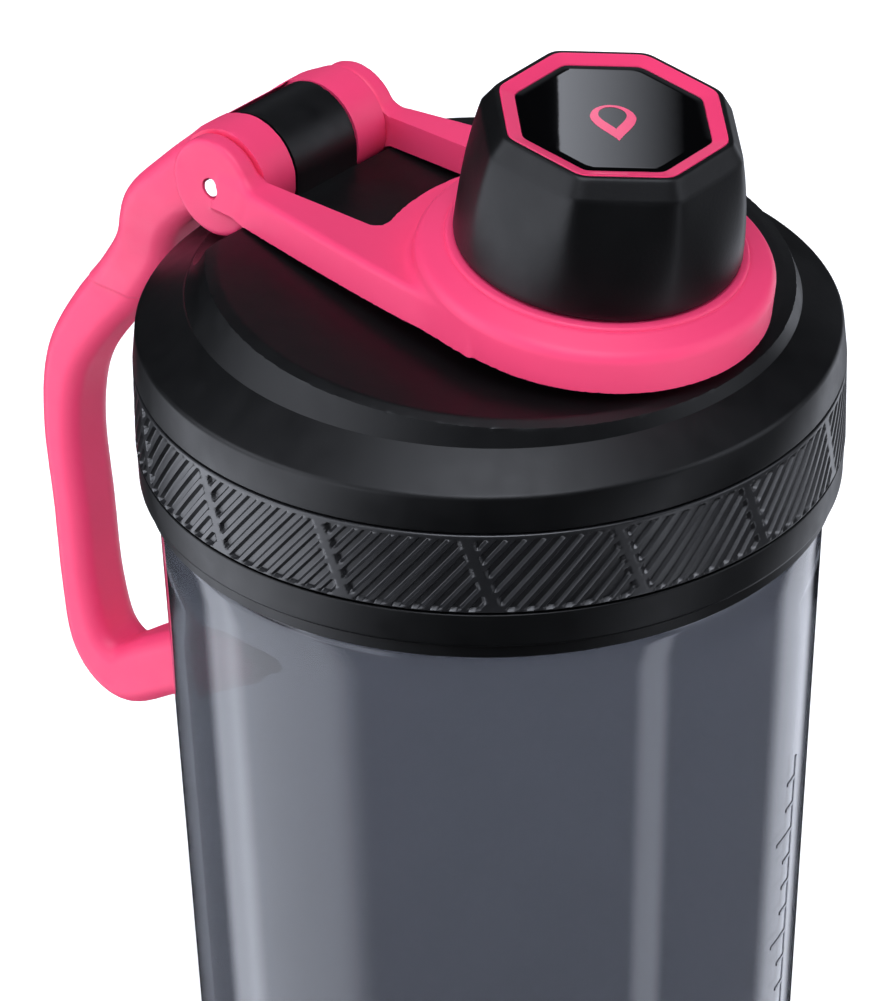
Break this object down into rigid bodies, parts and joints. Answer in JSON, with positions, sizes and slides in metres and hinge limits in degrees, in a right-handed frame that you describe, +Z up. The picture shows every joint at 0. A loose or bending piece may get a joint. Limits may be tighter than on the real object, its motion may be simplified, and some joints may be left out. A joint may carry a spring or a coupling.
{
  "type": "protein shaker bottle",
  "caption": "Tapered translucent shaker cup with a screw lid, flip-up arm carrying a leaning screw cap, rear hinged carry handle and a loose wire mixing ball.",
  "frame": {"origin": "centre of the cup's base, on the surface it stands on", "axes": "+Z up along the cup's axis, +X towards the drinking cap, the hinge and handle at -X, Y along the hinge pin"},
  "size_m": [0.1327, 0.098, 0.2361],
  "materials": {
    "smoke_plastic": "clear smoke tint, glossy",
    "satin_black": "fine satin texture",
    "inner_black": "plain moulded",
    "band_rubber": "ribbed soft band",
    "soft_pink": "soft-touch satin",
    "trim_pink": "smooth satin",
    "gloss_black": "high gloss",
    "liner_grey": "plain moulded",
    "silicone": "soft silicone",
    "steel": "polished wire"
  },
  "bodies": {
    "cup": {"cup": "smoke_plastic"},
    "ball": {"whisk_ball": "steel"},
    "seal_ring": {"lid_gasket": "silicone"},
    "lid": {"lid_liner": "inner_black", "lid_shell": "satin_black", "grip_band": "band_rubber", "spout": "inner_black", "spout_oring": "silicone", "hinge_pin": "steel", "hinge_washer_left": "inner_black", "hinge_washer_right": "inner_black"},
    "handle": {"handle": "soft_pink"},
    "arm": {"cap_arm": "soft_pink"},
    "cap": {"cap_shell": "satin_black", "cap_trim": "trim_pink", "cap_badge": "gloss_black", "cap_liner": "liner_grey", "cap_seal": "silicone", "cap_retainer": "inner_black"}
  },
  "joints": [
    {"name": "ball_rise", "type": "slide", "parent": "cup", "child": "ball", "axis": [0, 0, 1], "range_m": [0, 0.11]},
    {"name": "lid_lift", "type": "slide", "parent": "cup", "child": "seal_ring", "axis": [0, 0, 1], "range_m": [0, 0.0067]},
    {"name": "lid_turn", "type": "hinge", "parent": "seal_ring", "child": "lid", "pos_m": [0, 0, 0.19], "axis": [0, 0, 1], "range_deg": [0, 300]},
    {"name": "arm_open", "type": "hinge", "parent": "lid", "child": "arm", "pos_m": [-0.0369, 0, 0.2088], "axis": [0, -1, 0], "range_deg": [0, 100]},
    {"name": "cap_turn", "type": "hinge", "parent": "arm", "child": "cap", "pos_m": [0.0194, 0, 0.2141], "axis": [0.1392, 0, 0.9903], "range_deg": [0, 270]},
    {"name": "handle_swing", "type": "hinge", "parent": "lid", "child": "handle", "pos_m": [-0.0369, 0, 0.2088], "axis": [0, 1, 0], "range_deg": [0, 40]}
  ],
  "couplings": [
    {"joint": "lid_lift", "follows": "lid_turn", "m_per_rad": 0.0012732}
  ]
}
